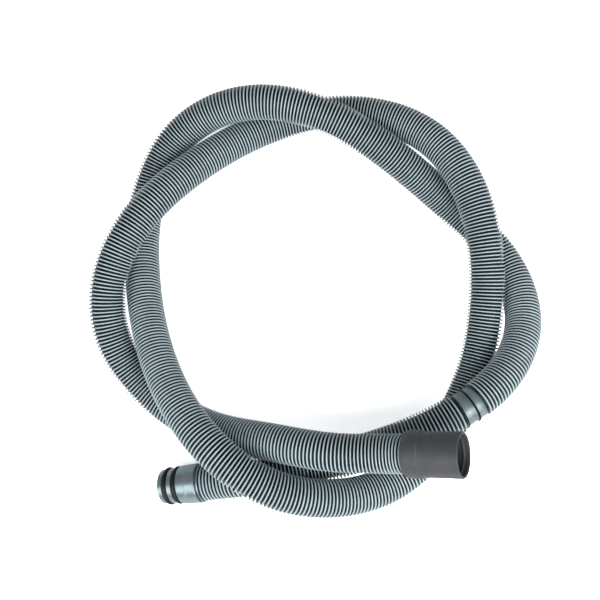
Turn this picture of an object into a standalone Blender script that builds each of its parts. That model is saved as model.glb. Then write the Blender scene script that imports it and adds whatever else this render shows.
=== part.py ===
"""Drain hose of a dishwasher, lying in two loose turns that cross each other.

Metres, +Z up. The hose rests on the plane z = 0. One end carries a plastic spigot with two
O-rings, the other a soft rubber cuff.
"""
import math

import bpy
import numpy as np
from mathutils import Matrix, Vector

MM = 0.001
COLLECTION_NAME = "dishwasher_drain_hose"

# Gap left between pieces that touch
FIT_GAP = 0.3 * MM

# Hose, over the crests of its ribs, and its wall from the crests to the bore
HOSE_OUTER_D = 24.0 * MM
HOSE_WALL = 2.3 * MM
HOSE_STRAIGHTS = 70
HOSE_BEVEL_RESOLUTION = 4
HOSE_SIDES = 4 + 2 * HOSE_BEVEL_RESOLUTION

# Plain band moulded into the hose below the crests, with a low bead round it
BAND_POSITION = 182.6 * MM
BAND_LENGTH = 12.6 * MM
BAND_DEPTH = 1.1 * MM
BAND_EDGE = 0.9 * MM
BAND_BEAD_OFFSET = 0.7 * MM
BAND_BEAD_WIDTH = 1.6 * MM
BAND_BEAD_HEIGHT = 0.4 * MM

# Spigot, from its nose to the end of its tail
SPIGOT_NOSE_D = 22.4 * MM
SPIGOT_NOSE_LENGTH = 3.3 * MM
SPIGOT_NOSE_CHAMFER = 0.7 * MM
SPIGOT_LAND_D = 22.8 * MM
SPIGOT_LAND_LENGTH = 3.0 * MM
SPIGOT_BODY_FRONT_D = 24.6 * MM
SPIGOT_BODY_REAR_D = 26.2 * MM
SPIGOT_BODY_LENGTH = 13.9 * MM
SPIGOT_BODY_EDGE = 0.5 * MM
SPIGOT_BEAD_WIDTH = 0.7 * MM
SPIGOT_BEAD_HEIGHT = 0.2 * MM
SPIGOT_NECK_D = 21.6 * MM
SPIGOT_NECK_LENGTH = 1.5 * MM
SPIGOT_COLLAR_D = 25.4 * MM
SPIGOT_COLLAR_LENGTH = 0.8 * MM
SPIGOT_BORE_LEAD_IN = 1.0 * MM
SPIGOT_STEPS = 48

# Barbed tail of the spigot, inside the hose
TAIL_CLEARANCE = 1.4 * MM
TAIL_WALL = 1.1 * MM
TAIL_LENGTH = 16.0 * MM
TAIL_BARBS = 3
TAIL_BARB_RAMP = 2.6 * MM
TAIL_BARB_GAP = 1.6 * MM

# O-rings and their grooves
ORING_OUTER_D = 24.8 * MM
ORING_CORD_D = 3.1 * MM
ORING_CORD_SIDES = 12
ORING_STEPS = 48

# Rubber cuff, its walls measured outwards from the socket that holds the hose
CUFF_LENGTH = 35.4 * MM
CUFF_BARREL_WALL = 1.35 * MM
CUFF_COLLAR_WALL = 2.1 * MM
CUFF_COLLAR_LENGTH = 10.4 * MM
CUFF_COLLAR_STEP = 0.5 * MM
CUFF_BACK_LIP = 1.0 * MM
CUFF_BACK_TAPER = 4.5 * MM
CUFF_MOUTH_WALL = 1.5 * MM
CUFF_MOUTH_EDGE = 0.5 * MM
CUFF_MOUTH_LEAD_IN = 0.5 * MM
CUFF_STOP_CLEARANCE = 0.1 * MM
CUFF_STOP_LENGTH = 2.5 * MM
CUFF_HOSE_DEPTH = 16.8 * MM
CUFF_SEAL_POSITIONS = (4.0 * MM, 9.0 * MM)
CUFF_SEAL_HEIGHT = 0.6 * MM
CUFF_SEAL_WIDTH = 1.8 * MM
CUFF_STEPS = 48

# Route of the hose's centre line in millimetres, from the spigot to the cuff. The first two and
# the last two points bound the straight ends that the spigot's tail and the cuff sit on.
ROUTE_SHIFT = (-10.67, 0.80, -0.04)
HOSE_ROUTE = [
    (-62.8, -126.1, 20.2),
    (-44.6, -124.0, 26.0),
    (-20.5, -121.0, 29.5),
    (21.5, -112.0, 28.5),
    (61.0, -100.0, 38.5),
    (99.0, -82.5, 45.5),
    (134.0, -55.0, 40.5),
    (151.5, -14.0, 25.5),
    (139.5, 30.5, 14.0),
    (108.0, 65.0, 14.5),
    (72.0, 91.5, 28.5),
    (33.5, 114.0, 41.0),
    (-8.5, 129.0, 44.0),
    (-53.5, 129.5, 36.0),
    (-91.5, 107.0, 22.0),
    (-109.5, 66.0, 12.5),
    (-110.0, 17.5, 15.5),
    (-100.0, -29.5, 28.0),
    (-81.5, -71.0, 43.0),
    (-54.5, -104.5, 55.0),
    (-21.0, -127.0, 53.5),
    (19.0, -135.0, 42.0),
    (60.5, -125.5, 27.5),
    (94.0, -96.5, 21.5),
    (116.0, -58.0, 20.0),
    (125.5, -16.0, 26.0),
    (125.5, 27.5, 35.0),
    (115.0, 71.0, 39.0),
    (90.0, 109.0, 34.0),
    (49.5, 130.0, 24.5),
    (3.0, 131.0, 18.0),
    (-41.0, 113.5, 20.5),
    (-78.5, 84.5, 30.5),
    (-109.0, 50.0, 38.0),
    (-128.0, 11.0, 34.5),
    (-126.5, -31.0, 23.5),
    (-101.5, -66.0, 14.5),
    (-63.0, -90.0, 20.5),
    (-21.0, -99.5, 42.0),
    (19.5, -106.0, 58.5),
    (61.8, -106.9, 71.8),
    (78.9, -107.2, 81.1),
]

HOSE_COLOR = (0.30, 0.37, 0.38)
SPIGOT_COLOR = (0.33, 0.39, 0.41)
ORING_COLOR = (0.012, 0.012, 0.014)
CUFF_COLOR = (0.085, 0.085, 0.095)


def remove_all():
    """Start from an empty file."""
    for obj in list(bpy.data.objects):
        bpy.data.objects.remove(obj, do_unlink=True)


def plain_material(name, color, roughness):
    """Material of one colour."""
    material = bpy.data.materials.new(name)
    material.use_nodes = True
    shader = material.node_tree.nodes["Principled BSDF"]
    shader.inputs["Base Color"].default_value = (*color, 1.0)
    shader.inputs["Roughness"].default_value = roughness
    shader.inputs["Metallic"].default_value = 0.0
    material.diffuse_color = (*color, 1.0)
    return material


def shade_round(mesh, angle=math.radians(32.0)):
    """Smooth shading with the corners kept sharp."""
    mesh.shade_smooth()
    mesh.set_sharp_from_angle(angle=angle)


def add_object(name, mesh, collection, material):
    """Link a mesh under a name with its material."""
    obj = bpy.data.objects.new(name, mesh)
    obj.data.materials.clear()
    obj.data.materials.append(material)
    collection.objects.link(obj)
    return obj


def route_points():
    """Points of the route in metres."""
    shift = np.array(ROUTE_SHIFT)
    return (np.array(HOSE_ROUTE) + shift) * MM


def unit(vector):
    """Vector of length one."""
    return vector / np.linalg.norm(vector)


def spline_slopes(points, first, last):
    """Slopes of a smooth curve through the points, with its two end directions given."""
    spans = np.linalg.norm(np.diff(points, axis=0), axis=1)
    count = len(points)
    system = np.zeros((count, count))
    right = np.zeros((count, 3))
    system[0, 0] = 1.0
    system[-1, -1] = 1.0
    right[0] = first
    right[-1] = last
    for i in range(1, count - 1):
        before, after = spans[i - 1], spans[i]
        system[i, i - 1] = after
        system[i, i] = 2.0 * (before + after)
        system[i, i + 1] = before
        step_back = (points[i] - points[i - 1]) / before
        step_on = (points[i + 1] - points[i]) / after
        right[i] = 3.0 * (after * step_back + before * step_on)
    return spans, np.linalg.solve(system, right)


def smooth_line(points, per_span=40):
    """Fine line along the route: straight end runs and one smooth curve between them."""
    start_direction = unit(points[1] - points[0])
    end_direction = unit(points[-1] - points[-2])
    inner = points[1:-1]
    spans, slopes = spline_slopes(inner, start_direction, end_direction)
    line = [points[0]]
    for i in range(len(inner) - 1):
        for s in np.linspace(0.0, 1.0, per_span, endpoint=False):
            at_start = 2 * s ** 3 - 3 * s ** 2 + 1
            at_end = 1 - at_start
            slope_start = (s ** 3 - 2 * s ** 2 + s) * spans[i]
            slope_end = (s ** 3 - s ** 2) * spans[i]
            line.append(at_start * inner[i] + slope_start * slopes[i]
                        + at_end * inner[i + 1] + slope_end * slopes[i + 1])
    line.append(inner[-1])
    line.append(points[-1])
    return np.array(line)


def lengths_along(line):
    """Distance of each point of a line from its start."""
    return np.concatenate([[0.0], np.cumsum(np.linalg.norm(np.diff(line, axis=0), axis=1))])


def hose_bore_radius():
    """Radius of the bore of the hose."""
    return HOSE_OUTER_D / 2 - HOSE_WALL


def band_stations():
    """Distances along the hose and radii where the plain band changes size."""
    start = BAND_POSITION - BAND_LENGTH / 2
    end = BAND_POSITION + BAND_LENGTH / 2
    bead = BAND_POSITION + BAND_BEAD_OFFSET
    half = BAND_BEAD_WIDTH / 2
    band = HOSE_OUTER_D / 2 - BAND_DEPTH
    return [
        (start - BAND_EDGE, HOSE_OUTER_D / 2),
        (start, band),
        (bead - half, band),
        (bead, band + BAND_BEAD_HEIGHT),
        (bead + half, band),
        (end, band),
        (end + BAND_EDGE, HOSE_OUTER_D / 2),
    ]


def hose_stations(line):
    """Distances along the hose and radii of every ring of its tube."""
    along = lengths_along(line)
    straight_start = along[1]
    straight_end = along[-2]
    band = band_stations()
    clear = (straight_end - straight_start) / HOSE_STRAIGHTS / 3
    stations = [(0.0, HOSE_OUTER_D / 2)]
    for distance in np.linspace(straight_start, straight_end, HOSE_STRAIGHTS + 1):
        if distance < band[0][0] - clear or distance > band[-1][0] + clear:
            stations.append((distance, HOSE_OUTER_D / 2))
    stations.append((along[-1], HOSE_OUTER_D / 2))
    stations.extend(band)
    return sorted(stations)


def hose_tube(line, collection, material):
    """Hollow hose: a bevelled curve along the route, shelled inwards."""
    along = lengths_along(line)
    stations = hose_stations(line)
    curve = bpy.data.curves.new("hose_tube", "CURVE")
    curve.dimensions = "3D"
    curve.bevel_depth = HOSE_OUTER_D / 2
    curve.bevel_resolution = HOSE_BEVEL_RESOLUTION
    curve.use_fill_caps = False
    spline = curve.splines.new("POLY")
    spline.points.add(len(stations) - 1)
    for point, (distance, radius) in zip(spline.points, stations):
        place = [np.interp(distance, along, line[:, axis]) for axis in range(3)]
        point.co = (*place, 1.0)
        point.radius = radius / (HOSE_OUTER_D / 2)
    guide = bpy.data.objects.new("hose_guide", curve)
    collection.objects.link(guide)
    bpy.context.view_layer.update()
    skin = bpy.data.meshes.new_from_object(guide.evaluated_get(bpy.context.evaluated_depsgraph_get()))
    bpy.data.objects.remove(guide, do_unlink=True)
    skin.name = "hose_tube"
    shade_round(skin)
    tube = add_object("hose_tube", skin, collection, material)
    wall = tube.modifiers.new("wall", "SOLIDIFY")
    wall.thickness = HOSE_WALL
    wall.offset = -1.0
    wall.use_even_offset = True
    wall.use_rim = True
    return tube


def turned(name, profile, steps, place, collection, material):
    """Closed profile of radius and height turned once round Z, then put in place."""
    mesh = bpy.data.meshes.new(name)
    count = len(profile)
    corners = [(radius, 0.0, height) for radius, height in profile]
    edges = [(i, (i + 1) % count) for i in range(count)]
    mesh.from_pydata(corners, edges, [])
    blank = bpy.data.objects.new(name + "_profile", mesh)
    collection.objects.link(blank)
    turn = blank.modifiers.new("turn", "SCREW")
    turn.axis = "Z"
    turn.angle = 2.0 * math.pi
    turn.steps = steps
    turn.render_steps = steps
    turn.use_merge_vertices = True
    turn.merge_threshold = 0.01 * MM
    bpy.context.view_layer.update()
    solid = bpy.data.meshes.new_from_object(blank.evaluated_get(bpy.context.evaluated_depsgraph_get()))
    bpy.data.objects.remove(blank, do_unlink=True)
    solid.name = name
    shade_round(solid)
    obj = add_object(name, solid, collection, material)
    obj.matrix_world = place
    return obj


def place_along(point, direction):
    """Matrix that puts local +Z along a direction, with its zero at a point."""
    turn = Vector(direction).to_track_quat("Z", "Y").to_matrix().to_4x4()
    return Matrix.Translation(Vector(point)) @ turn


def groove_width():
    """Width of an O-ring groove."""
    return ORING_CORD_D + 2 * FIT_GAP


def groove_floor_radius():
    """Radius of the floor of an O-ring groove."""
    return ORING_OUTER_D / 2 - ORING_CORD_D - FIT_GAP


def spigot_front_length():
    """Length of the spigot outside the hose."""
    lands = SPIGOT_NOSE_LENGTH + SPIGOT_LAND_LENGTH + 2 * groove_width()
    return lands + SPIGOT_BODY_LENGTH + SPIGOT_NECK_LENGTH + SPIGOT_COLLAR_LENGTH


def tail_barb_radius():
    """Radius of the barbs' crests, clear of the flats inside the hose's tube."""
    flat = math.cos(math.pi / HOSE_SIDES)
    return HOSE_OUTER_D / 2 * flat - HOSE_WALL - FIT_GAP


def tail_core_radius():
    """Radius of the tail between its barbs."""
    return hose_bore_radius() - TAIL_CLEARANCE


def spigot_profile():
    """Outline of the spigot, nose at height zero, body and tail below it."""
    groove = groove_width()
    floor = groove_floor_radius()
    nose = SPIGOT_NOSE_D / 2
    land = SPIGOT_LAND_D / 2
    front = SPIGOT_BODY_FRONT_D / 2
    rear = SPIGOT_BODY_REAR_D / 2
    core = tail_core_radius()
    bore = core - TAIL_WALL
    profile = [(nose - SPIGOT_NOSE_CHAMFER, 0.0), (nose, -SPIGOT_NOSE_CHAMFER)]
    height = -SPIGOT_NOSE_LENGTH
    profile += [(nose, height), (floor, height)]
    height -= groove
    profile += [(floor, height), (land, height)]
    height -= SPIGOT_LAND_LENGTH
    profile += [(land, height), (floor, height)]
    height -= groove
    profile += [(floor, height), (front - SPIGOT_BODY_EDGE, height), (front, height - SPIGOT_BODY_EDGE)]
    middle = height - SPIGOT_BODY_LENGTH / 2
    half_bead = SPIGOT_BEAD_WIDTH / 2
    ring = (front + rear) / 2
    profile += [(ring, middle + half_bead), (ring + SPIGOT_BEAD_HEIGHT, middle), (ring, middle - half_bead)]
    height -= SPIGOT_BODY_LENGTH
    profile += [(rear, height + SPIGOT_BODY_EDGE), (rear - SPIGOT_BODY_EDGE, height)]
    profile.append((SPIGOT_NECK_D / 2, height))
    height -= SPIGOT_NECK_LENGTH
    profile += [(SPIGOT_NECK_D / 2, height), (SPIGOT_COLLAR_D / 2, height)]
    height -= SPIGOT_COLLAR_LENGTH
    profile += [(SPIGOT_COLLAR_D / 2, height), (core, height)]
    tail_end = height - TAIL_LENGTH
    pitch = TAIL_BARB_RAMP + TAIL_BARB_GAP
    barbs = []
    for i in range(TAIL_BARBS):
        foot = tail_end + i * pitch
        barbs.append([(tail_barb_radius(), foot + TAIL_BARB_RAMP), (core, foot)])
    barbs.reverse()
    for crest, foot in barbs:
        profile += [(core, crest[1]), crest, foot]
    profile += [(bore, tail_end), (bore, -SPIGOT_BORE_LEAD_IN), (bore + SPIGOT_BORE_LEAD_IN, 0.0)]
    return profile


def inlet_spigot(start, direction, collection, material):
    """Plastic spigot whose rear face meets the hose's end and whose tail runs inside it."""
    nose = start - direction * (spigot_front_length() + FIT_GAP)
    return turned("inlet_spigot", spigot_profile(), SPIGOT_STEPS, place_along(nose, -direction),
                  collection, material)


def oring_profile():
    """Round section of an O-ring, its outline run down the outer side first."""
    centre = (ORING_OUTER_D - ORING_CORD_D) / 2
    radius = ORING_CORD_D / 2
    angles = [math.pi / 2 - 2 * math.pi * i / ORING_CORD_SIDES for i in range(ORING_CORD_SIDES)]
    return [(centre + radius * math.cos(a), radius * math.sin(a)) for a in angles]


def orings(start, direction, collection, material):
    """Two rubber rings, each in the middle of its groove."""
    nose = start - direction * (spigot_front_length() + FIT_GAP)
    first = SPIGOT_NOSE_LENGTH + groove_width() / 2
    second = first + groove_width() + SPIGOT_LAND_LENGTH
    rings = []
    for name, depth in (("front_oring", first), ("rear_oring", second)):
        place = place_along(nose + direction * depth, -direction)
        rings.append(turned(name, oring_profile(), ORING_STEPS, place, collection, material))
    return rings


def cuff_profile():
    """Outline of the cuff, mouth at height zero, hose socket at the other end."""
    socket = HOSE_OUTER_D / 2 + FIT_GAP
    barrel = socket + CUFF_BARREL_WALL
    collar = socket + CUFF_COLLAR_WALL
    mouth = barrel - CUFF_MOUTH_WALL
    stop = hose_bore_radius() + CUFF_STOP_CLEARANCE
    back = -CUFF_LENGTH
    shoulder = back + CUFF_HOSE_DEPTH + FIT_GAP
    collar_top = back + CUFF_COLLAR_LENGTH
    profile = [(barrel - CUFF_MOUTH_EDGE, 0.0), (barrel, -CUFF_MOUTH_EDGE)]
    profile += [(barrel, collar_top + CUFF_COLLAR_STEP), (collar, collar_top)]
    for turn in (0.0, 0.3, 0.6, 0.85, 1.0):
        angle = turn * math.pi / 2
        radius = socket + CUFF_BACK_LIP + (collar - socket - CUFF_BACK_LIP) * math.cos(angle)
        profile.append((radius, back + CUFF_BACK_TAPER * (1.0 - math.sin(angle))))
    profile += [(socket, back), (socket, shoulder), (stop, shoulder), (stop, shoulder + CUFF_STOP_LENGTH)]
    profile.append((mouth, shoulder + CUFF_STOP_LENGTH))
    half = CUFF_SEAL_WIDTH / 2
    for depth in sorted(CUFF_SEAL_POSITIONS, reverse=True):
        profile += [(mouth, -depth - half), (mouth - CUFF_SEAL_HEIGHT, -depth), (mouth, -depth + half)]
    profile += [(mouth, -CUFF_MOUTH_LEAD_IN), (mouth + CUFF_MOUTH_LEAD_IN, 0.0)]
    return profile


def outlet_cuff(end, direction, collection, material):
    """Rubber cuff pushed over the hose's end up to its inner stop."""
    mouth = end + direction * (CUFF_LENGTH - CUFF_HOSE_DEPTH)
    return turned("outlet_cuff", cuff_profile(), CUFF_STEPS, place_along(mouth, direction),
                  collection, material)


def build():
    """Make every piece of the drain hose."""
    remove_all()
    collection = bpy.data.collections.new(COLLECTION_NAME)
    bpy.context.scene.collection.children.link(collection)
    hose_plastic = plain_material("hose_plastic", HOSE_COLOR, 0.38)
    spigot_plastic = plain_material("spigot_plastic", SPIGOT_COLOR, 0.30)
    seal_rubber = plain_material("seal_rubber", ORING_COLOR, 0.45)
    cuff_rubber = plain_material("cuff_rubber", CUFF_COLOR, 0.55)
    points = route_points()
    line = smooth_line(points)
    start_direction = unit(points[1] - points[0])
    end_direction = unit(points[-1] - points[-2])
    hose_tube(line, collection, hose_plastic)
    inlet_spigot(points[0], start_direction, collection, spigot_plastic)
    orings(points[0], start_direction, collection, seal_rubber)
    outlet_cuff(points[-1], end_direction, collection, cuff_rubber)
    bpy.context.view_layer.update()


build()
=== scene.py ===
"""Looks of a dishwasher drain hose: the ribbed hose, its spigot, O-rings and cuff, and a studio.

Metres, +Z up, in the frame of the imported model. The hose rests on the plane z = 0.
"""
import math

import bmesh
import bpy
import numpy as np
from bpy.props import FloatProperty, FloatVectorProperty, IntProperty, PointerProperty
from mathutils import Matrix, Vector


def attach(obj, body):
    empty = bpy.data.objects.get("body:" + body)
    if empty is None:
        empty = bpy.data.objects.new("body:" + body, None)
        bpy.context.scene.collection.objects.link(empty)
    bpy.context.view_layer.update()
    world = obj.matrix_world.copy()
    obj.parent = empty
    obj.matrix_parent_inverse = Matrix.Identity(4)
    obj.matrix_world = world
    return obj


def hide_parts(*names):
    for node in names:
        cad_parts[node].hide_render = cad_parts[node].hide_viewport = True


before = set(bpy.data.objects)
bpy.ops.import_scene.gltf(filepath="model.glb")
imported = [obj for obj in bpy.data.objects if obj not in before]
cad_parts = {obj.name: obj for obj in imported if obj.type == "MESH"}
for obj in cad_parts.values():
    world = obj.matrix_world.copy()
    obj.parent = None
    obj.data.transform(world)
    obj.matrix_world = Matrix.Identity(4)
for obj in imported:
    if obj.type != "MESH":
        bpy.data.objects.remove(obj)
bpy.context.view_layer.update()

bl_info = {
    "name": "Dishwasher drain hose",
    "version": (1, 0, 0),
    "blender": (4, 5, 0),
    "location": "3D view > Sidebar > Drain hose",
    "description": "Ribbed hose, spigot, O-rings and cuff of a drain hose, with a plain studio",
    "category": "Object",
}

MM = 0.001
BODY = "root"

# Route of the hose's centre line in millimetres, from the spigot to the cuff, the shift that puts
# it in the middle of the frame, and the steps of its smooth curve between two points
ROUTE_SHIFT = (-10.67, 0.80, -0.04)
ROUTE_STEPS = 40
HOSE_ROUTE = [
    (-62.8, -126.1, 20.2),
    (-44.6, -124.0, 26.0),
    (-20.5, -121.0, 29.5),
    (21.5, -112.0, 28.5),
    (61.0, -100.0, 38.5),
    (99.0, -82.5, 45.5),
    (134.0, -55.0, 40.5),
    (151.5, -14.0, 25.5),
    (139.5, 30.5, 14.0),
    (108.0, 65.0, 14.5),
    (72.0, 91.5, 28.5),
    (33.5, 114.0, 41.0),
    (-8.5, 129.0, 44.0),
    (-53.5, 129.5, 36.0),
    (-91.5, 107.0, 22.0),
    (-109.5, 66.0, 12.5),
    (-110.0, 17.5, 15.5),
    (-100.0, -29.5, 28.0),
    (-81.5, -71.0, 43.0),
    (-54.5, -104.5, 55.0),
    (-21.0, -127.0, 53.5),
    (19.0, -135.0, 42.0),
    (60.5, -125.5, 27.5),
    (94.0, -96.5, 21.5),
    (116.0, -58.0, 20.0),
    (125.5, -16.0, 26.0),
    (125.5, 27.5, 35.0),
    (115.0, 71.0, 39.0),
    (90.0, 109.0, 34.0),
    (49.5, 130.0, 24.5),
    (3.0, 131.0, 18.0),
    (-41.0, 113.5, 20.5),
    (-78.5, 84.5, 30.5),
    (-109.0, 50.0, 38.0),
    (-128.0, 11.0, 34.5),
    (-126.5, -31.0, 23.5),
    (-101.5, -66.0, 14.5),
    (-63.0, -90.0, 20.5),
    (-21.0, -99.5, 42.0),
    (19.5, -106.0, 58.5),
    (61.8, -106.9, 71.8),
    (78.9, -107.2, 81.1),
]

# Hose: sides of its tube (4 + 2 x resolution), shares of a rib's pitch, bore and plain lining
HOSE_D = 24.0 * MM
HOSE_BEVEL_RESOLUTION = 13
HOSE_SIDES = 4 + 2 * HOSE_BEVEL_RESOLUTION
CREST_SHARE = 0.27
GROOVE_SHARE = 0.42
HOSE_BORE_D = 19.4 * MM
LINING_STRAIGHTS = 76

# Tones along the hose's surface, which its material turns into colours, and the two tones between
# which its metallic pigment sets in
CREST_TONE = 0.0
# Painted shade: the crest edge, flank and groove tones darken the ribs' sides and the grooves where
# shade falls between the ribs
CREST_EDGE_TONE = 0.15
FLANK_TONE = 0.39
# The lining takes a dark tone between the flank's and the groove's painted shade
LINING_TONE = 0.7
GROOVE_TONE = 1.0
BAND_EDGE_TONE = 1.94
BAND_TONE = 2.0
STRIP_TONE = 2.25
RING_TONE = 3.0
PIGMENT_TONES = (1.9, 2.0)

# Plain band in the hose: distances from the spigot end to its two thin dark rings and its far end
BAND_RING_FIRST = 175.7 * MM
BAND_RING_MIDDLE = 183.3 * MM
BAND_END = 188.9 * MM
BAND_D = 22.0 * MM
BAND_STRIP_D = 21.7 * MM
BAND_STRIP_LENGTH = 2.9 * MM
BAND_RING_D = 23.8 * MM
BAND_RING_WIDTH = 0.7 * MM
BAND_RING_RAMP = 0.12 * MM
BAND_GAP = 0.9 * MM

# Spigot, from its nose to the end of its tail
FIT_GAP = 0.3 * MM
SPIGOT_SIDES = 96
NOSE_D = 22.4 * MM
NOSE_LENGTH = 3.3 * MM
NOSE_CHAMFER = 0.7 * MM
LAND_D = 22.8 * MM
LAND_LENGTH = 3.0 * MM
GROOVE_WIDTH = 3.7 * MM
GROOVE_FLOOR_D = 18.0 * MM
BODY_FRONT_D = 24.6 * MM
BODY_REAR_D = 26.2 * MM
BODY_LENGTH = 13.9 * MM
BODY_EDGE = 0.5 * MM
BEAD_WIDTH = 0.5 * MM
BEAD_HEIGHT = 0.2 * MM
NECK_D = 21.6 * MM
NECK_LENGTH = 1.5 * MM
COLLAR_D = 25.4 * MM
COLLAR_LENGTH = 0.8 * MM
SPIGOT_BORE_D = 14.4 * MM
SPIGOT_LEAD_IN = 1.0 * MM
TAIL_CORE_D = 16.6 * MM
TAIL_BARB_D = 18.0 * MM
TAIL_LENGTH = 16.0 * MM
TAIL_BARBS = 3
BARB_RAMP = 2.6 * MM
BARB_GAP = 1.6 * MM

# Edges: steps of a rounded edge, and the angles from which edges are rounded or stay sharp
EDGE_SEGMENTS = 2
SMOOTH_ANGLE = math.radians(35.0)
SPIGOT_EDGE_ANGLE = math.radians(40.0)
CUFF_EDGE_ANGLE = math.radians(30.0)
ORING_SMOOTH_ANGLE = math.radians(30.0)

# O-rings
ORING_SIDES = 96
ORING_D = 24.8 * MM
ORING_CORD_D = 3.1 * MM
ORING_FLASH = 0.05 * MM
ORING_FLASH_REACH = 0.02 * MM

# Cuff, from its mouth to its back end
CUFF_SIDES = 96
CUFF_LENGTH = 35.4 * MM
CUFF_HOSE_DEPTH = 16.8 * MM
CUFF_BARREL_D = 27.3 * MM
CUFF_COLLAR_D = 28.8 * MM
CUFF_COLLAR_LENGTH = 10.4 * MM
CUFF_COLLAR_STEP = 0.5 * MM
CUFF_BACK_LIP = 1.0 * MM
CUFF_BACK_TAPER = 4.5 * MM
CUFF_BACK_STEPS = 10
CUFF_MOUTH_D = 24.3 * MM
CUFF_MOUTH_EDGE = 0.5 * MM
CUFF_MOUTH_LEAD_IN = 0.5 * MM
CUFF_STOP_D = 19.6 * MM
CUFF_STOP_LENGTH = 2.5 * MM
CUFF_SEALS = (4.0 * MM, 9.0 * MM)
CUFF_SEAL_HEIGHT = 0.6 * MM
CUFF_SEAL_WIDTH = 1.8 * MM

# Materials: noise as (scale, detail), its effect as (lowest, highest), and the depth of the grain
NOISE_SPAN = (0.35, 0.65)
HOSE_SPECULAR = 0.35
HOSE_WEAR_NOISE = (60.0, 3.0)
HOSE_WEAR = (0.94, 1.05)
HOSE_GLOSS_NOISE = (180.0, 2.0)
# Shares of a colour: painted shade at the crests' edges, a darker strip in the band, and the thin
# rings' own dark colour
CREST_EDGE_SHADE = 0.85
STRIP_SHADE = 0.80
RING_SHADE = 0.35
PLASTIC_SPECULAR = 1.0
PLASTIC_FLOW_NOISE = (90.0, 4.0)
PLASTIC_FLOW = (0.95, 1.05)
PLASTIC_GLOSS_NOISE = (260.0, 2.0)
PLASTIC_GLOSS_SPREAD = (-0.04, 0.05)
PLASTIC_GRAIN_NOISE = (700.0, 2.0)
PLASTIC_GRAIN_DEPTH = 0.02 * MM
RUBBER_CLOUD_NOISE = (110.0, 4.0)
CUFF_CLOUDS = (0.9125, 1.0875)
SEAL_CLOUDS = (0.95, 1.05)
RUBBER_GLOSS_NOISE = (300.0, 2.0)
RUBBER_GRAIN_NOISE = (1500.0, 2.0)
RUBBER_GRAIN_DEPTH = 0.03 * MM
GLOSS_SPREAD = (-0.05, 0.06)
PAPER_NOISE = (3.0, 1.0)
PAPER_CLOUDS = (0.995, 1.0)
PAPER_ROUGHNESS = 0.9
PAPER_SPECULAR = 0.1

# Floor and lamps: each lamp's place, the point that it looks at, and its width and height
FLOOR_HEIGHT = -0.2 * MM
KEY_LAMP = ((0.15, -0.75, 0.91), (0.15, 0.0, 0.02), (4.2, 1.05))
SIDE_LAMP = ((1.1, -0.15, 0.75), (0.1, -0.05, 0.03), (0.5, 0.9))

# Camera, at the photograph's viewing angle
CAMERA_AIM = (-0.01067, 0.00080, 0.0)
CAMERA_DISTANCE = 0.572
CAMERA_ELEVATION = math.radians(79.9)
CAMERA_LENS = 48.06
CAMERA_SENSOR = 36.0
CAMERA_CLIP = (0.01, 50.0)


def length_setting(name, description, default):
    """Property for a size in metres."""
    return FloatProperty(name=name, description=description, default=default, min=0.0,
                         unit="LENGTH", subtype="DISTANCE", precision=5)


def color_setting(name, description, default):
    """Property for a colour."""
    return FloatVectorProperty(name=name, description=description, default=default, size=3,
                               min=0.0, max=1.0, subtype="COLOR")


def share_setting(name, description, default):
    """Property for a value between 0 and 1."""
    return FloatProperty(name=name, description=description, default=default, min=0.0, max=1.0,
                         subtype="FACTOR")


class HoseSettings(bpy.types.PropertyGroup):
    """Sizes and colours of the ribbed hose"""

    crest_diameter: length_setting("Crest diameter", "Diameter over the ribs", 24.2 * MM)
    rib_pitch: length_setting("Rib pitch", "Distance from one rib to the next", 2.33 * MM)
    rib_depth: length_setting("Rib depth", "Depth of the grooves between the ribs", 1.75 * MM)
    crest_color: color_setting("Crest colour", "Colour of the ribs' crests",
                               (0.565, 0.68, 0.722))
    # The flank and groove colours are painted shade, dark where shade falls on the ribs' sides and
    # in the grooves
    flank_shade_color: color_setting("Flank colour", "Colour of the ribs' sides",
                               (0.013, 0.044, 0.059))
    groove_shade_color: color_setting("Groove colour", "Colour down in the grooves",
                                (0.001, 0.008, 0.013))
    band_color: color_setting("Band colour", "Colour of the plain band", (0.31, 0.385, 0.41))
    band_pigment: share_setting("Band pigment", "Share of metallic pigment in the plain band",
                                0.55)
    roughness: share_setting("Roughness", "Roughness of the hose's plastic", 0.36)


class SpigotSettings(bpy.types.PropertyGroup):
    """Colour and gloss of the spigot"""

    color: color_setting("Colour", "Colour of the spigot's plastic", (0.315, 0.405, 0.43))
    roughness: share_setting("Roughness", "Roughness of the spigot's plastic", 0.33)
    pigment: share_setting("Pigment", "Share of metallic pigment in the plastic", 0.8)
    edge_radius: length_setting("Edge radius", "Rounding of the spigot's edges", 0.18 * MM)


class SealSettings(bpy.types.PropertyGroup):
    """Colour and gloss of the O-rings"""

    color: color_setting("Colour", "Colour of the O-rings' rubber", (0.004, 0.004, 0.005))
    roughness: share_setting("Roughness", "Roughness of the O-rings' rubber", 0.5)
    cord_sides: IntProperty(name="Cord sides", description="Sides of an O-ring's round section",
                            default=20, min=8, max=48)


class CuffSettings(bpy.types.PropertyGroup):
    """Colour and gloss of the rubber cuff"""

    color: color_setting("Colour", "Colour of the cuff's rubber", (0.076, 0.080, 0.089))
    roughness: share_setting("Roughness", "Roughness of the cuff's rubber", 0.52)
    edge_radius: length_setting("Edge radius", "Rounding of the cuff's edges", 0.3 * MM)


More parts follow.
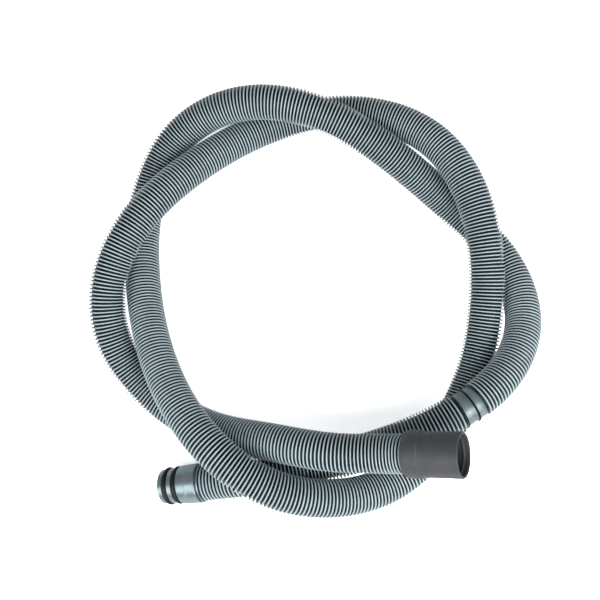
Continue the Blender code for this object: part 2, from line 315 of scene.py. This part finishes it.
class StageSettings(bpy.types.PropertyGroup):
    """Lamps and floor of the studio"""

    key_power: FloatProperty(name="Key power", description="Power of the large front lamp",
                             default=30.0, min=0.0, unit="POWER")
    side_power: FloatProperty(name="Side power",
                              description="Power of the small lamp on the right",
                              default=3.5, min=0.0, unit="POWER")
    room_light: share_setting("Room light", "Strength of the light from all round", 0.24)
    floor_color: color_setting("Floor colour", "Colour of the floor", (0.93, 0.93, 0.93))
    floor_glow: share_setting("Floor glow", "Own light of the floor that only the camera sees",
                              0.36)
    floor_gain: FloatProperty(name="Floor gain", default=3.0, min=1.0, max=5.0,
                              description="How much paler the camera sees the floor")
    floor_size: length_setting("Floor size", "Side of the square floor", 8.0)


def route_points():
    """Points of the route in metres."""
    return (np.array(HOSE_ROUTE) + np.array(ROUTE_SHIFT)) * MM


def unit(vector):
    """Vector of length one."""
    return vector / np.linalg.norm(vector)


def spline_slopes(points, first, last):
    """Slopes of a smooth curve through the points, with its two end directions given."""
    spans = np.linalg.norm(np.diff(points, axis=0), axis=1)
    count = len(points)
    system = np.zeros((count, count))
    right = np.zeros((count, 3))
    system[0, 0] = 1.0
    system[-1, -1] = 1.0
    right[0] = first
    right[-1] = last
    for i in range(1, count - 1):
        before, after = spans[i - 1], spans[i]
        system[i, i - 1] = after
        system[i, i] = 2.0 * (before + after)
        system[i, i + 1] = before
        step_back = (points[i] - points[i - 1]) / before
        step_on = (points[i + 1] - points[i]) / after
        right[i] = 3.0 * (after * step_back + before * step_on)
    return spans, np.linalg.solve(system, right)


def smooth_line(points):
    """Fine line along the route: straight end runs and one smooth curve between them."""
    start_direction = unit(points[1] - points[0])
    end_direction = unit(points[-1] - points[-2])
    inner = points[1:-1]
    spans, slopes = spline_slopes(inner, start_direction, end_direction)
    line = [points[0]]
    for i in range(len(inner) - 1):
        for s in np.linspace(0.0, 1.0, ROUTE_STEPS, endpoint=False):
            at_start = 2 * s ** 3 - 3 * s ** 2 + 1
            at_end = 1 - at_start
            slope_start = (s ** 3 - 2 * s ** 2 + s) * spans[i]
            slope_end = (s ** 3 - s ** 2) * spans[i]
            line.append(at_start * inner[i] + slope_start * slopes[i]
                        + at_end * inner[i + 1] + slope_end * slopes[i + 1])
    line.append(inner[-1])
    line.append(points[-1])
    return np.array(line)


def lengths_along(line):
    """Distance of each point of a line from its start."""
    return np.concatenate([[0.0], np.cumsum(np.linalg.norm(np.diff(line, axis=0), axis=1))])


def select_only(obj):
    """Make one object the only selected one, and active."""
    bpy.ops.object.select_all(action="DESELECT")
    obj.select_set(True)
    bpy.context.view_layer.objects.active = obj


def settle(obj, place):
    """Put a finished piece in place, with its place in its mesh."""
    obj.matrix_world = place
    select_only(obj)
    bpy.ops.object.transform_apply(location=True, rotation=True, scale=True)


def dress(obj, material):
    """Give a piece its only material."""
    obj.data.materials.clear()
    obj.data.materials.append(material)


def place_along(point, direction):
    """Matrix that puts local +Z along a direction, with its zero at a point."""
    turn = Vector(direction).to_track_quat("Z", "Y").to_matrix().to_4x4()
    return Matrix.Translation(Vector(point)) @ turn


def rib_rows(start, end, settings):
    """Ring rows (distance, radius, tone) of the ribs between two distances."""
    crest = settings.crest_diameter / 2
    floor = crest - settings.rib_depth
    count = round((end - start) / settings.rib_pitch)
    pitch = (end - start) / count
    rows = []
    for i in range(count):
        middle = start + (i + 0.5) * pitch
        rows.append((middle - CREST_SHARE * pitch / 2, crest, CREST_TONE))
        rows.append((middle + CREST_SHARE * pitch / 2, crest, CREST_TONE))
        if i < count - 1:
            rows.append((middle + (1.0 - GROOVE_SHARE) * pitch / 2, floor, GROOVE_TONE))
            rows.append((middle + (1.0 + GROOVE_SHARE) * pitch / 2, floor, GROOVE_TONE))
    return rows


def band_rows(settings):
    """Ring rows of the plain band with its two thin dark rings and the strip between them."""
    floor = settings.crest_diameter / 2 - settings.rib_depth
    band = BAND_D / 2
    strip = BAND_STRIP_D / 2
    ring = BAND_RING_D / 2
    ramp = BAND_RING_RAMP
    first_start = BAND_RING_FIRST - BAND_RING_WIDTH / 2
    first_end = BAND_RING_FIRST + BAND_RING_WIDTH / 2
    middle_start = BAND_RING_MIDDLE - BAND_RING_WIDTH / 2
    middle_end = BAND_RING_MIDDLE + BAND_RING_WIDTH / 2
    strip_end = middle_start - 2 * ramp
    strip_start = strip_end - BAND_STRIP_LENGTH
    return [
        (first_start - BAND_GAP, floor, GROOVE_TONE),
        (first_start - ramp, floor, GROOVE_TONE),
        (first_start, ring, RING_TONE),
        (first_end, ring, RING_TONE),
        (first_end + ramp, band, RING_TONE),
        (first_end + 2 * ramp, band, BAND_TONE),
        (strip_start - ramp, band, BAND_TONE),
        (strip_start, strip, STRIP_TONE),
        (strip_end, strip, STRIP_TONE),
        (middle_start - ramp, strip, RING_TONE),
        (middle_start, ring, RING_TONE),
        (middle_end, ring, RING_TONE),
        (middle_end + ramp, band, RING_TONE),
        (middle_end + 2 * ramp, band, BAND_TONE),
        (BAND_END, band, BAND_TONE),
        (BAND_END + ramp, floor, GROOVE_TONE),
        (BAND_END + BAND_GAP, floor, GROOVE_TONE),
    ]


def hose_rows(total, settings):
    """Ring rows of the hose's outside from end to end."""
    band = band_rows(settings)
    floor = settings.crest_diameter / 2 - settings.rib_depth
    rows = [(0.0, floor, GROOVE_TONE)]
    rows += rib_rows(0.0, band[0][0], settings)
    rows += band
    rows += rib_rows(band[-1][0], total, settings)
    rows.append((total, floor, GROOVE_TONE))
    return rows


def curve_tube(name, line, distances, radii):
    """Tube along the line as a mesh, its rings at the given distances and radii."""
    along = lengths_along(line)
    full = max(radii)
    curve = bpy.data.curves.new(name, "CURVE")
    curve.dimensions = "3D"
    curve.bevel_depth = full
    curve.bevel_resolution = HOSE_BEVEL_RESOLUTION
    curve.use_fill_caps = False
    spline = curve.splines.new("POLY")
    spline.points.add(len(distances) - 1)
    places = np.column_stack([np.interp(distances, along, line[:, axis]) for axis in range(3)])
    ends = np.column_stack([places, np.ones(len(places))])
    spline.points.foreach_set("co", ends.ravel())
    spline.points.foreach_set("radius", np.array(radii) / full)
    tube = bpy.data.objects.new(name, curve)
    bpy.context.scene.collection.objects.link(tube)
    select_only(tube)
    bpy.ops.object.convert(target="MESH")
    return bpy.context.view_layer.objects.active, places


def paint_tone(obj, tones):
    """Store each ring's tone on its points."""
    layer = obj.data.attributes.new("tone", "FLOAT", "POINT")
    layer.data.foreach_set("value", np.repeat(np.array(tones, dtype=np.float32), HOSE_SIDES))


def bridge_open_ends(obj, point, reach):
    """Close the ring between two open loops near a point."""
    bpy.ops.object.mode_set(mode="EDIT")
    bpy.ops.mesh.select_mode(type="EDGE")
    bpy.ops.mesh.select_all(action="DESELECT")
    mesh = bmesh.from_edit_mesh(obj.data)
    centre = Vector(point)
    for edge in mesh.edges:
        middle = (edge.verts[0].co + edge.verts[1].co) / 2
        edge.select_set(edge.is_boundary and (middle - centre).length < reach)
    bmesh.update_edit_mesh(obj.data)
    bpy.ops.mesh.bridge_edge_loops()
    bpy.ops.object.mode_set(mode="OBJECT")


def make_hose(settings):
    """Ribbed hose as one closed tube with a plain lining, and the route of its rings."""
    line = smooth_line(route_points())
    total = lengths_along(line)[-1]
    rows = hose_rows(total, settings)
    distances, radii, tones = zip(*rows)
    outside, places = curve_tube("ribbed_hose", line, distances, radii)
    paint_tone(outside, tones)
    lining_at = np.linspace(0.0, total, LINING_STRAIGHTS + 1)
    lining, _ = curve_tube("lining", line, lining_at, [HOSE_BORE_D / 2] * len(lining_at))
    paint_tone(lining, [LINING_TONE] * len(lining_at))
    bpy.ops.object.mode_set(mode="EDIT")
    bpy.ops.mesh.select_all(action="SELECT")
    bpy.ops.mesh.flip_normals()
    bpy.ops.object.mode_set(mode="OBJECT")
    select_only(outside)
    lining.select_set(True)
    bpy.ops.object.join()
    for end in (places[0], places[-1]):
        bridge_open_ends(outside, end, settings.crest_diameter)
    bpy.ops.object.shade_smooth()
    dress(outside, hose_material(settings))
    return outside, places, total


def turned(name, rows, sides, edge_radius, edge_angle):
    """Closed round piece about +Z: a circle extruded ring by ring through (radius, height) rows."""
    radius, height = rows[0]
    bpy.ops.object.select_all(action="DESELECT")
    bpy.ops.mesh.primitive_circle_add(vertices=sides, radius=radius, fill_type="NOTHING",
                                      location=(0.0, 0.0, 0.0))
    piece = bpy.context.view_layer.objects.active
    piece.name = name
    piece.data.name = name
    bpy.ops.object.mode_set(mode="EDIT")
    bpy.ops.mesh.select_mode(type="EDGE")
    bpy.ops.mesh.select_all(action="SELECT")
    bpy.ops.transform.translate(value=(0.0, 0.0, height))
    for next_radius, next_height in rows[1:]:
        step = (0.0, 0.0, next_height - height)
        bpy.ops.mesh.extrude_region_move(TRANSFORM_OT_translate={"value": step})
        scale = next_radius / radius
        bpy.ops.transform.resize(value=(scale, scale, 1.0),
                                 center_override=(0.0, 0.0, next_height))
        radius, height = next_radius, next_height
    bpy.ops.mesh.select_all(action="DESELECT")
    bpy.ops.mesh.select_non_manifold()
    bpy.ops.mesh.bridge_edge_loops()
    bpy.ops.mesh.select_all(action="SELECT")
    bpy.ops.mesh.normals_make_consistent(inside=False)
    bpy.ops.object.mode_set(mode="OBJECT")
    select_only(piece)
    rounding = piece.modifiers.new("rounding", "BEVEL")
    rounding.width = edge_radius
    rounding.segments = EDGE_SEGMENTS
    rounding.limit_method = "ANGLE"
    rounding.angle_limit = edge_angle
    bpy.ops.object.modifier_apply(modifier=rounding.name)
    bpy.ops.object.shade_smooth_by_angle(angle=SMOOTH_ANGLE)
    flats = piece.modifiers.new("flats", "WEIGHTED_NORMAL")
    flats.keep_sharp = True
    bpy.ops.object.modifier_apply(modifier=flats.name)
    return piece


def spigot_rows():
    """Rows of the spigot, nose at height zero, body and tail below it."""
    floor = GROOVE_FLOOR_D / 2
    front = BODY_FRONT_D / 2
    rear = BODY_REAR_D / 2
    bore = SPIGOT_BORE_D / 2
    core = TAIL_CORE_D / 2
    rows = [(NOSE_D / 2 - NOSE_CHAMFER, 0.0), (NOSE_D / 2, -NOSE_CHAMFER)]
    height = -NOSE_LENGTH
    rows += [(NOSE_D / 2, height), (floor, height)]
    height -= GROOVE_WIDTH
    rows += [(floor, height), (LAND_D / 2, height)]
    height -= LAND_LENGTH
    rows += [(LAND_D / 2, height), (floor, height)]
    height -= GROOVE_WIDTH
    rows += [(floor, height), (front - BODY_EDGE, height), (front, height - BODY_EDGE)]
    middle = height - BODY_LENGTH / 2
    ring = (front + rear) / 2
    rows += [(ring, middle + BEAD_WIDTH / 2), (ring + BEAD_HEIGHT, middle)]
    rows.append((ring, middle - BEAD_WIDTH / 2))
    height -= BODY_LENGTH
    rows += [(rear, height + BODY_EDGE), (rear - BODY_EDGE, height), (NECK_D / 2, height)]
    height -= NECK_LENGTH
    rows += [(NECK_D / 2, height), (COLLAR_D / 2, height)]
    height -= COLLAR_LENGTH
    rows += [(COLLAR_D / 2, height), (core, height)]
    tail_end = height - TAIL_LENGTH
    for i in reversed(range(TAIL_BARBS)):
        foot = tail_end + i * (BARB_RAMP + BARB_GAP)
        rows += [(core, foot + BARB_RAMP), (TAIL_BARB_D / 2, foot + BARB_RAMP), (core, foot)]
    rows += [(bore, tail_end), (bore, -SPIGOT_LEAD_IN), (bore + SPIGOT_LEAD_IN, 0.0)]
    return rows


def spigot_front_length():
    """Length of the spigot outside the hose."""
    front = NOSE_LENGTH + LAND_LENGTH + 2 * GROOVE_WIDTH
    return front + BODY_LENGTH + NECK_LENGTH + COLLAR_LENGTH


def nose_place():
    """Centre of the spigot's nose and the direction from there into the hose."""
    points = route_points()
    direction = unit(points[1] - points[0])
    return points[0] - direction * (spigot_front_length() + FIT_GAP), direction


def make_spigot(settings):
    """Plastic spigot with its grooves, body, collar and barbed tail."""
    spigot = turned("spigot", spigot_rows(), SPIGOT_SIDES, settings.edge_radius,
                    SPIGOT_EDGE_ANGLE)
    nose, direction = nose_place()
    settle(spigot, place_along(nose, -direction))
    dress(spigot, plastic_material("spigot_plastic", settings))
    return spigot


def make_oring(name, depth, settings):
    """O-ring in a groove: a torus with the fine flash line of its mould round the outside."""
    bpy.ops.object.select_all(action="DESELECT")
    ring = (ORING_D - ORING_CORD_D) / 2
    bpy.ops.mesh.primitive_torus_add(major_segments=ORING_SIDES,
                                     minor_segments=settings.cord_sides,
                                     major_radius=ring, minor_radius=ORING_CORD_D / 2,
                                     location=(0.0, 0.0, 0.0))
    piece = bpy.context.view_layer.objects.active
    piece.name = name
    piece.data.name = name
    bpy.ops.object.mode_set(mode="EDIT")
    bpy.ops.mesh.select_mode(type="VERT")
    bpy.ops.mesh.select_all(action="DESELECT")
    mesh = bmesh.from_edit_mesh(piece.data)
    flash_from = ORING_D / 2 - ORING_FLASH_REACH
    for vertex in mesh.verts:
        vertex.select_set(math.hypot(vertex.co.x, vertex.co.y) > flash_from)
    mesh.select_flush_mode()
    bmesh.update_edit_mesh(piece.data)
    grow = 1.0 + 2 * ORING_FLASH / ORING_D
    bpy.ops.transform.resize(value=(grow, grow, 1.0), center_override=(0.0, 0.0, 0.0))
    bpy.ops.object.mode_set(mode="OBJECT")
    select_only(piece)
    bpy.ops.object.shade_smooth_by_angle(angle=ORING_SMOOTH_ANGLE)
    nose, direction = nose_place()
    settle(piece, place_along(nose + direction * depth, -direction))
    return piece


def cuff_rows():
    """Rows of the cuff, mouth at height zero, hose socket at the other end."""
    barrel = CUFF_BARREL_D / 2
    collar = CUFF_COLLAR_D / 2
    mouth = CUFF_MOUTH_D / 2
    socket = HOSE_D / 2 + FIT_GAP
    stop = CUFF_STOP_D / 2
    back = -CUFF_LENGTH
    shoulder = back + CUFF_HOSE_DEPTH + FIT_GAP
    collar_top = back + CUFF_COLLAR_LENGTH
    rows = [(barrel - CUFF_MOUTH_EDGE, 0.0), (barrel, -CUFF_MOUTH_EDGE)]
    rows += [(barrel, collar_top + CUFF_COLLAR_STEP), (collar, collar_top)]
    for i in range(CUFF_BACK_STEPS + 1):
        angle = i / CUFF_BACK_STEPS * math.pi / 2
        radius = socket + CUFF_BACK_LIP + (collar - socket - CUFF_BACK_LIP) * math.cos(angle)
        rows.append((radius, back + CUFF_BACK_TAPER * (1.0 - math.sin(angle))))
    rows += [(socket, back), (socket, shoulder), (stop, shoulder)]
    rows += [(stop, shoulder + CUFF_STOP_LENGTH), (mouth, shoulder + CUFF_STOP_LENGTH)]
    half = CUFF_SEAL_WIDTH / 2
    for depth in sorted(CUFF_SEALS, reverse=True):
        rows += [(mouth, -depth - half), (mouth - CUFF_SEAL_HEIGHT, -depth)]
        rows.append((mouth, -depth + half))
    rows += [(mouth, -CUFF_MOUTH_LEAD_IN), (mouth + CUFF_MOUTH_LEAD_IN, 0.0)]
    return rows


def make_cuff(settings):
    """Rubber cuff pushed over the hose's end up to its inner stop."""
    cuff = turned("rubber_cuff", cuff_rows(), CUFF_SIDES, settings.edge_radius, CUFF_EDGE_ANGLE)
    points = route_points()
    direction = unit(points[-1] - points[-2])
    mouth = points[-1] + direction * (CUFF_LENGTH - CUFF_HOSE_DEPTH)
    settle(cuff, place_along(mouth, direction))
    dress(cuff, rubber_material("cuff_rubber", settings, CUFF_CLOUDS))
    return cuff


def new_material(name):
    """Empty node material with its shader, node tree and object coordinates."""
    material = bpy.data.materials.new(name)
    material.use_nodes = True
    tree = material.node_tree
    shader = tree.nodes["Principled BSDF"]
    place = tree.nodes.new("ShaderNodeTexCoord").outputs["Object"]
    return material, tree, shader, place


def add_range(tree, value, low, high, source):
    """Value stretched from one range to another."""
    node = tree.nodes.new("ShaderNodeMapRange")
    node.inputs["From Min"].default_value = source[0]
    node.inputs["From Max"].default_value = source[1]
    node.inputs["To Min"].default_value = low
    node.inputs["To Max"].default_value = high
    tree.links.new(value, node.inputs["Value"])
    return node.outputs["Result"]


def add_noise(tree, place, kind):
    """Noise of a kind (scale, detail) on object coordinates."""
    noise = tree.nodes.new("ShaderNodeTexNoise")
    noise.inputs["Scale"].default_value, noise.inputs["Detail"].default_value = kind
    tree.links.new(place, noise.inputs["Vector"])
    return noise.outputs["Fac"]


def add_clouds(tree, place, kind, low, high):
    """Soft noise between two values."""
    return add_range(tree, add_noise(tree, place, kind), low, high, NOISE_SPAN)


def add_gloss(tree, place, kind, roughness, spread, shader):
    """Roughness that varies a little about its value."""
    gloss = add_clouds(tree, place, kind, roughness + spread[0], roughness + spread[1])
    tree.links.new(gloss, shader.inputs["Roughness"])


def add_tint(tree, color, value):
    """Colour made lighter or darker by a value."""
    node = tree.nodes.new("ShaderNodeVectorMath")
    node.operation = "SCALE"
    if isinstance(color, bpy.types.NodeSocket):
        tree.links.new(color, node.inputs[0])
    else:
        node.inputs[0].default_value = color
    tree.links.new(value, node.inputs["Scale"])
    return node.outputs["Vector"]


def add_grain(tree, place, kind, depth, shader):
    """Fine grain in the surface."""
    bump = tree.nodes.new("ShaderNodeBump")
    bump.inputs["Distance"].default_value = depth
    bump.inputs["Strength"].default_value = 1.0
    tree.links.new(add_noise(tree, place, kind), bump.inputs["Height"])
    tree.links.new(bump.outputs["Normal"], shader.inputs["Normal"])


def shaded(color, share):
    """Darker colour, at a share of its strength."""
    return [share * value for value in color]


def hose_material(settings):
    """Plastic of the hose by tone: pale crests, painted shade on rib sides and in grooves, plain
    band, thin dark rings.
    """
    material, tree, shader, place = new_material("hose_plastic")
    shader.inputs["Specular IOR Level"].default_value = HOSE_SPECULAR
    tone = tree.nodes.new("ShaderNodeAttribute")
    tone.attribute_name = "tone"
    scaled = add_range(tree, tone.outputs["Fac"], 0.0, 1.0, (CREST_TONE, RING_TONE))
    ramp = tree.nodes.new("ShaderNodeValToRGB")
    stops = [
        (CREST_TONE, settings.crest_color),
        # Painted shade: the crests' edges darker, and the ribs' sides and the grooves near black
        (CREST_EDGE_TONE, shaded(settings.crest_color, CREST_EDGE_SHADE)),
        (FLANK_TONE, settings.flank_shade_color),
        (GROOVE_TONE, settings.groove_shade_color),
        (BAND_EDGE_TONE, settings.groove_shade_color),
        (BAND_TONE, settings.band_color),
        (STRIP_TONE, shaded(settings.band_color, STRIP_SHADE)),
        # The thin rings' own dark colour, a share of the grooves' painted shade colour
        (RING_TONE, shaded(settings.groove_shade_color, RING_SHADE)),
    ]
    while len(ramp.color_ramp.elements) < len(stops):
        ramp.color_ramp.elements.new(1.0)
    for element, (stop_tone, color) in zip(ramp.color_ramp.elements, stops):
        element.position = stop_tone / RING_TONE
        element.color = (*color, 1.0)
    tree.links.new(scaled, ramp.inputs["Fac"])
    wear = add_clouds(tree, place, HOSE_WEAR_NOISE, *HOSE_WEAR)
    tree.links.new(add_tint(tree, ramp.outputs["Color"], wear), shader.inputs["Base Color"])
    add_gloss(tree, place, HOSE_GLOSS_NOISE, settings.roughness, GLOSS_SPREAD, shader)
    pigment = add_range(tree, tone.outputs["Fac"], 0.0, settings.band_pigment, PIGMENT_TONES)
    tree.links.new(pigment, shader.inputs["Metallic"])
    return material


def plastic_material(name, settings):
    """Smooth moulded plastic with metallic pigment, faint flow marks and a fine grain."""
    material, tree, shader, place = new_material(name)
    shader.inputs["Metallic"].default_value = settings.pigment
    shader.inputs["Specular IOR Level"].default_value = PLASTIC_SPECULAR
    flow = add_clouds(tree, place, PLASTIC_FLOW_NOISE, *PLASTIC_FLOW)
    tree.links.new(add_tint(tree, settings.color, flow), shader.inputs["Base Color"])
    add_gloss(tree, place, PLASTIC_GLOSS_NOISE, settings.roughness, PLASTIC_GLOSS_SPREAD, shader)
    add_grain(tree, place, PLASTIC_GRAIN_NOISE, PLASTIC_GRAIN_DEPTH, shader)
    return material


def rubber_material(name, settings, clouds):
    """Moulded rubber with a faint clouded tone and a fine grain."""
    material, tree, shader, place = new_material(name)
    cloud = add_clouds(tree, place, RUBBER_CLOUD_NOISE, *clouds)
    tree.links.new(add_tint(tree, settings.color, cloud), shader.inputs["Base Color"])
    add_gloss(tree, place, RUBBER_GLOSS_NOISE, settings.roughness, GLOSS_SPREAD, shader)
    add_grain(tree, place, RUBBER_GRAIN_NOISE, RUBBER_GRAIN_DEPTH, shader)
    return material


def camera_or_other(tree, camera_value, other_value):
    """Value that the camera sees, and the one that all other rays see."""
    rays = tree.nodes.new("ShaderNodeLightPath")
    return add_range(tree, rays.outputs["Is Camera Ray"], other_value, camera_value, (0.0, 1.0))


def make_camera():
    """Camera nearly overhead, at the photograph's viewing angle."""
    camera = bpy.data.cameras.new("camera")
    camera.lens = CAMERA_LENS
    camera.sensor_width = CAMERA_SENSOR
    camera.clip_start, camera.clip_end = CAMERA_CLIP
    view = bpy.data.objects.new("camera", camera)
    bpy.context.scene.collection.objects.link(view)
    back = Vector((0.0, -math.cos(CAMERA_ELEVATION), math.sin(CAMERA_ELEVATION)))
    view.location = Vector(CAMERA_AIM) + CAMERA_DISTANCE * back
    view.rotation_euler = (math.pi / 2 - CAMERA_ELEVATION, 0.0, 0.0)
    bpy.context.scene.camera = view


def make_floor(settings):
    """Pale floor that keeps the hose's shadow."""
    bpy.ops.object.select_all(action="DESELECT")
    bpy.ops.mesh.primitive_plane_add(size=settings.floor_size, location=(0.0, 0.0, FLOOR_HEIGHT))
    floor = bpy.context.view_layer.objects.active
    floor.name = "floor"
    material, tree, shader, place = new_material("floor_paper")
    paper = add_clouds(tree, place, PAPER_NOISE, *PAPER_CLOUDS)
    paper_color = add_tint(tree, settings.floor_color, paper)
    seen = add_tint(tree, paper_color, camera_or_other(tree, settings.floor_gain, 1.0))
    tree.links.new(seen, shader.inputs["Base Color"])
    shader.inputs["Emission Color"].default_value = (1.0, 1.0, 1.0, 1.0)
    glow = camera_or_other(tree, settings.floor_glow, 0.0)
    tree.links.new(glow, shader.inputs["Emission Strength"])
    shader.inputs["Roughness"].default_value = PAPER_ROUGHNESS
    shader.inputs["Specular IOR Level"].default_value = PAPER_SPECULAR
    dress(floor, material)


def add_lamp(name, location, target, size, power):
    """Soft rectangular lamp aimed at a point."""
    lamp = bpy.data.lights.new(name, "AREA")
    lamp.shape = "RECTANGLE"
    lamp.size, lamp.size_y = size
    lamp.energy = power
    obj = bpy.data.objects.new(name, lamp)
    bpy.context.scene.collection.objects.link(obj)
    obj.location = location
    obj.rotation_euler = (Vector(target) - Vector(location)).to_track_quat("-Z", "Y").to_euler()


def make_world(settings):
    """White room that lights the hose evenly from all round."""
    world = bpy.data.worlds.new("white_room")
    bpy.context.scene.world = world
    world.use_nodes = True
    tree = world.node_tree
    background = tree.nodes["Background"]
    background.inputs["Color"].default_value = (1.0, 1.0, 1.0, 1.0)
    strength = camera_or_other(tree, 1.0, settings.room_light)
    tree.links.new(strength, background.inputs["Strength"])


class DRAINHOSE_OT_stage(bpy.types.Operator):
    """Set the camera, the lamps and the pale floor"""

    bl_idname = "drainhose.stage"
    bl_label = "Studio"

    def execute(self, context):
        settings = context.scene.drain_hose_stage
        context.scene.view_settings.view_transform = "Standard"
        make_camera()
        make_world(settings)
        make_floor(settings)
        add_lamp("key_lamp", *KEY_LAMP, settings.key_power)
        add_lamp("side_lamp", *SIDE_LAMP, settings.side_power)
        return {"FINISHED"}


class DRAINHOSE_OT_hose(bpy.types.Operator):
    """Make the ribbed hose with its plain band"""

    bl_idname = "drainhose.hose"
    bl_label = "Ribbed hose"

    def execute(self, context):
        settings = context.scene.drain_hose_tube
        hose, places, total = make_hose(settings)
        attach(hose, BODY)
        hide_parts("hose_tube")
        context.scene["drain_hose_length"] = total
        context.scene["drain_hose_path"] = places.ravel().tolist()
        return {"FINISHED"}


class DRAINHOSE_OT_spigot(bpy.types.Operator):
    """Make the plastic spigot"""

    bl_idname = "drainhose.spigot"
    bl_label = "Spigot"

    def execute(self, context):
        spigot = make_spigot(context.scene.drain_hose_spigot)
        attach(spigot, BODY)
        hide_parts("inlet_spigot")
        return {"FINISHED"}


class DRAINHOSE_OT_orings(bpy.types.Operator):
    """Make the two O-rings in the spigot's grooves"""

    bl_idname = "drainhose.orings"
    bl_label = "O-rings"

    def execute(self, context):
        settings = context.scene.drain_hose_seals
        rubber = rubber_material("seal_rubber", settings, SEAL_CLOUDS)
        first = NOSE_LENGTH + GROOVE_WIDTH / 2
        second = first + GROOVE_WIDTH + LAND_LENGTH
        seats = (("oring_front", "front_oring", first), ("oring_rear", "rear_oring", second))
        for name, node, depth in seats:
            ring = make_oring(name, depth, settings)
            dress(ring, rubber)
            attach(ring, BODY)
            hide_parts(node)
        return {"FINISHED"}


class DRAINHOSE_OT_cuff(bpy.types.Operator):
    bl_idname = "drainhose.cuff"
    bl_label = "Rubber cuff"

    def execute(self, context):
        cuff = make_cuff(context.scene.drain_hose_cuff)
        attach(cuff, BODY)
        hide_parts("outlet_cuff")
        hose = bpy.data.objects.get("ribbed_hose")
        if hose is None:
            raise RuntimeError("make the ribbed hose before its cuff")
        return {"FINISHED"}


class DRAINHOSE_PT_panel(bpy.types.Panel):
    """Settings and pieces of the drain hose"""

    bl_idname = "DRAINHOSE_PT_panel"
    bl_label = "Drain hose"
    bl_space_type = "VIEW_3D"
    bl_region_type = "UI"
    bl_category = "Drain hose"

    def draw(self, context):
        for operator, group in PANEL_ROWS:
            box = self.layout.box()
            box.operator(operator)
            settings = getattr(context.scene, group)
            for name in settings.__annotations__:
                box.prop(settings, name)


PANEL_ROWS = [
    ("drainhose.stage", "drain_hose_stage"),
    ("drainhose.hose", "drain_hose_tube"),
    ("drainhose.spigot", "drain_hose_spigot"),
    ("drainhose.orings", "drain_hose_seals"),
    ("drainhose.cuff", "drain_hose_cuff"),
]

GROUPS = {
    "drain_hose_stage": StageSettings,
    "drain_hose_tube": HoseSettings,
    "drain_hose_spigot": SpigotSettings,
    "drain_hose_seals": SealSettings,
    "drain_hose_cuff": CuffSettings,
}

CLASSES = [
    *GROUPS.values(),
    DRAINHOSE_OT_stage,
    DRAINHOSE_OT_hose,
    DRAINHOSE_OT_spigot,
    DRAINHOSE_OT_orings,
    DRAINHOSE_OT_cuff,
    DRAINHOSE_PT_panel,
]


def register():
    """Add the classes and the settings of the scene."""
    for cls in CLASSES:
        bpy.utils.register_class(cls)
    for name, group in GROUPS.items():
        setattr(bpy.types.Scene, name, PointerProperty(type=group))


def unregister():
    """Take the settings and the classes away again."""
    for name in GROUPS:
        delattr(bpy.types.Scene, name)
    for cls in reversed(CLASSES):
        bpy.utils.unregister_class(cls)


def main():
    """Make the studio and every piece."""
    register()
    bpy.ops.drainhose.stage()
    bpy.ops.drainhose.hose()
    bpy.ops.drainhose.spigot()
    bpy.ops.drainhose.orings()
    bpy.ops.drainhose.cuff()


if __name__ == "__main__":
    main()
